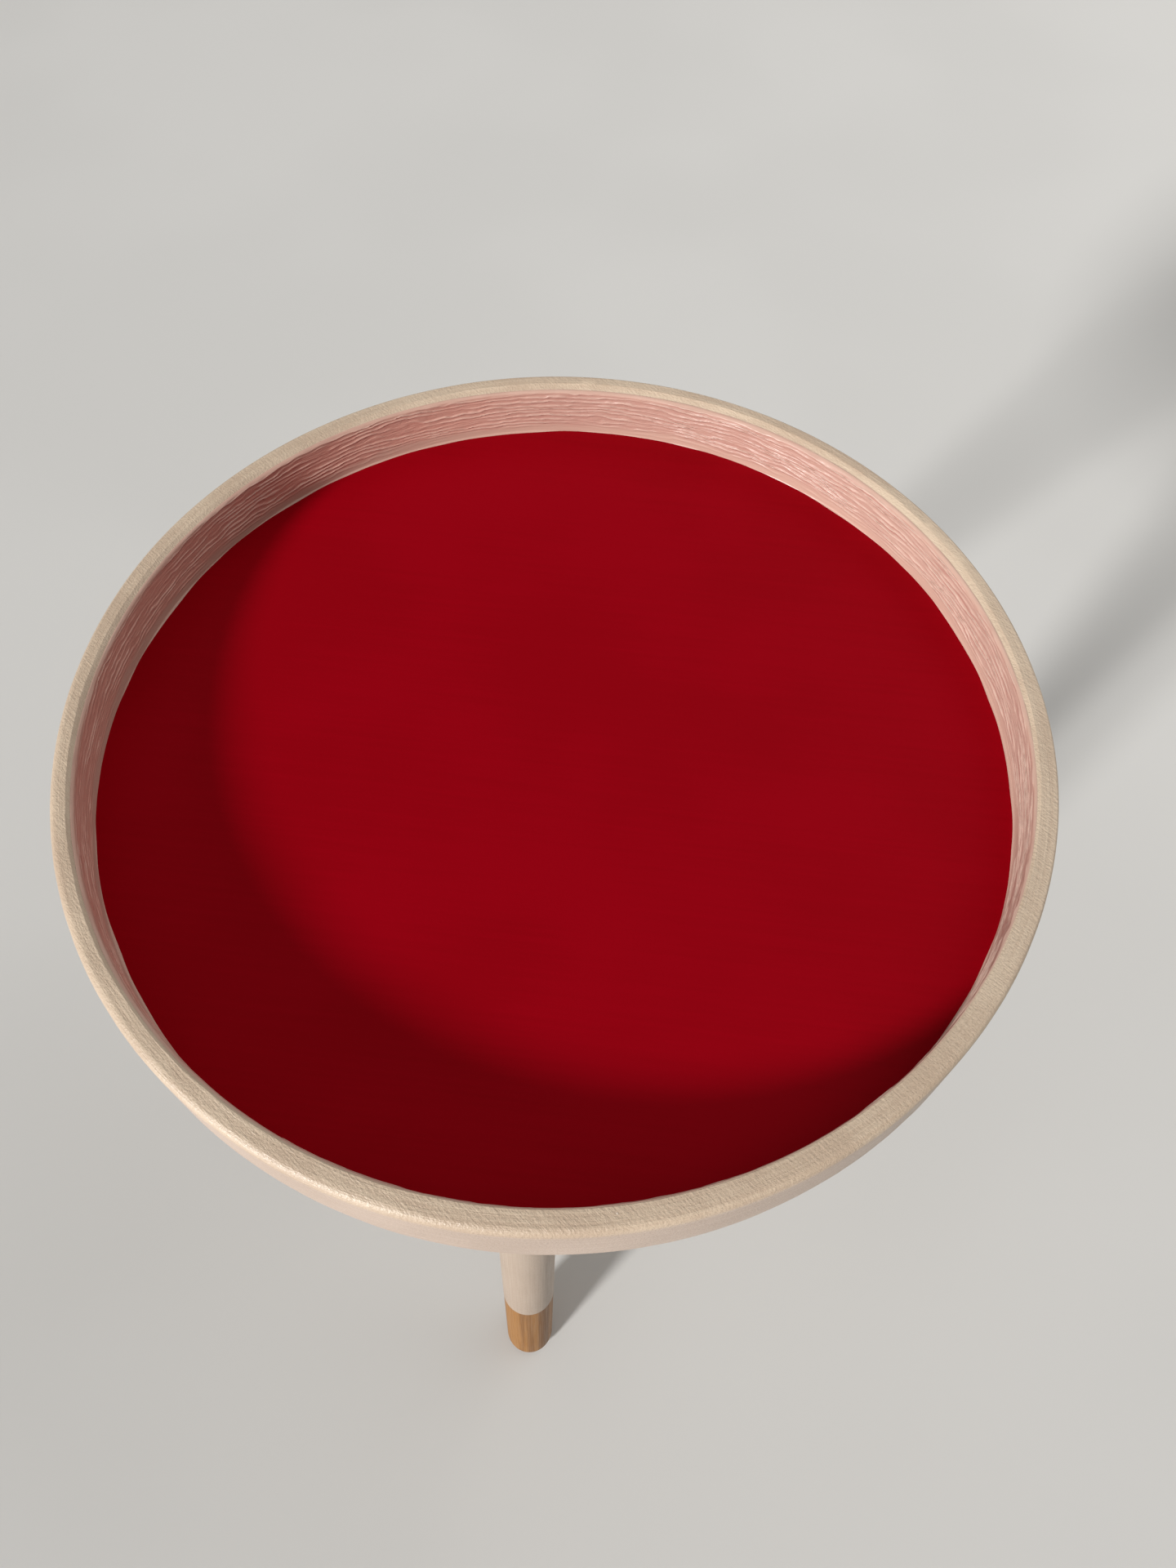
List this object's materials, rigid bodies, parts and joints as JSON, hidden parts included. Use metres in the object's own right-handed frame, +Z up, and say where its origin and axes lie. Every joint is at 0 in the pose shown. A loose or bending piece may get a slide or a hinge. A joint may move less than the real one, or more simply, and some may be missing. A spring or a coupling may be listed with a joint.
{
  "type": "side table",
  "caption": "Round side table with a deep-rimmed tray top on splayed round legs whose tips are left as bare wood.",
  "frame": {"origin": "on the floor under the middle of the tray", "axes": "+Z up; the front leg stands on -Y, and the table is its own mirror image across the plane of Y and Z"},
  "size_m": [0.49, 0.49, 0.59],
  "materials": {
    "sand_paint": "satin sand-beige brushed paint on wood",
    "coral_paint": "satin dusty coral paint with heavy brush marks",
    "red_paint": "even satin deep red paint",
    "bare_oak": "clear-oiled bare oak",
    "plywood": "sanded birch plywood",
    "zinc_plate": "bright zinc plating",
    "bright_steel": "bright steel",
    "white_plastic": "matt off-white plastic"
  },
  "bodies": {
    "root": {"tray_rim": "sand_paint", "tray_floor": "red_paint", "support_disc": "plywood", "leg_front": "sand_paint", "leg_back_left": "sand_paint", "leg_back_right": "sand_paint", "leg_plate_front": "zinc_plate", "leg_plate_back_left": "zinc_plate", "leg_plate_back_right": "zinc_plate", "plate_nut_front": "zinc_plate", "plate_nut_back_left": "zinc_plate", "plate_nut_back_right": "zinc_plate", "hanger_bolt_front": "bright_steel", "hanger_bolt_back_left": "bright_steel", "hanger_bolt_back_right": "bright_steel", "glide_cap_front": "white_plastic", "glide_cap_back_left": "white_plastic", "glide_cap_back_right": "white_plastic", "glide_nail_front": "bright_steel", "glide_nail_back_left": "bright_steel", "glide_nail_back_right": "bright_steel", "floor_pin_1": "bright_steel", "floor_pin_2": "bright_steel", "floor_pin_3": "bright_steel", "floor_pin_4": "bright_steel", "floor_pin_5": "bright_steel", "floor_pin_6": "bright_steel", "floor_pin_7": "bright_steel", "floor_pin_8": "bright_steel", "floor_pin_9": "bright_steel", "floor_pin_10": "bright_steel", "floor_pin_11": "bright_steel", "floor_pin_12": "bright_steel", "disc_screw_1": "zinc_plate", "disc_screw_2": "zinc_plate", "disc_screw_3": "zinc_plate", "disc_screw_4": "zinc_plate", "disc_screw_5": "zinc_plate", "disc_screw_6": "zinc_plate", "disc_screw_7": "zinc_plate", "disc_screw_8": "zinc_plate", "disc_screw_9": "zinc_plate", "plate_screw_front_1": "zinc_plate", "plate_screw_front_2": "zinc_plate", "plate_screw_front_3": "zinc_plate", "plate_screw_front_4": "zinc_plate", "plate_screw_back_left_1": "zinc_plate", "plate_screw_back_left_2": "zinc_plate", "plate_screw_back_left_3": "zinc_plate", "plate_screw_back_left_4": "zinc_plate", "plate_screw_back_right_1": "zinc_plate", "plate_screw_back_right_2": "zinc_plate", "plate_screw_back_right_3": "zinc_plate", "plate_screw_back_right_4": "zinc_plate"}
  },
  "joints": []
}
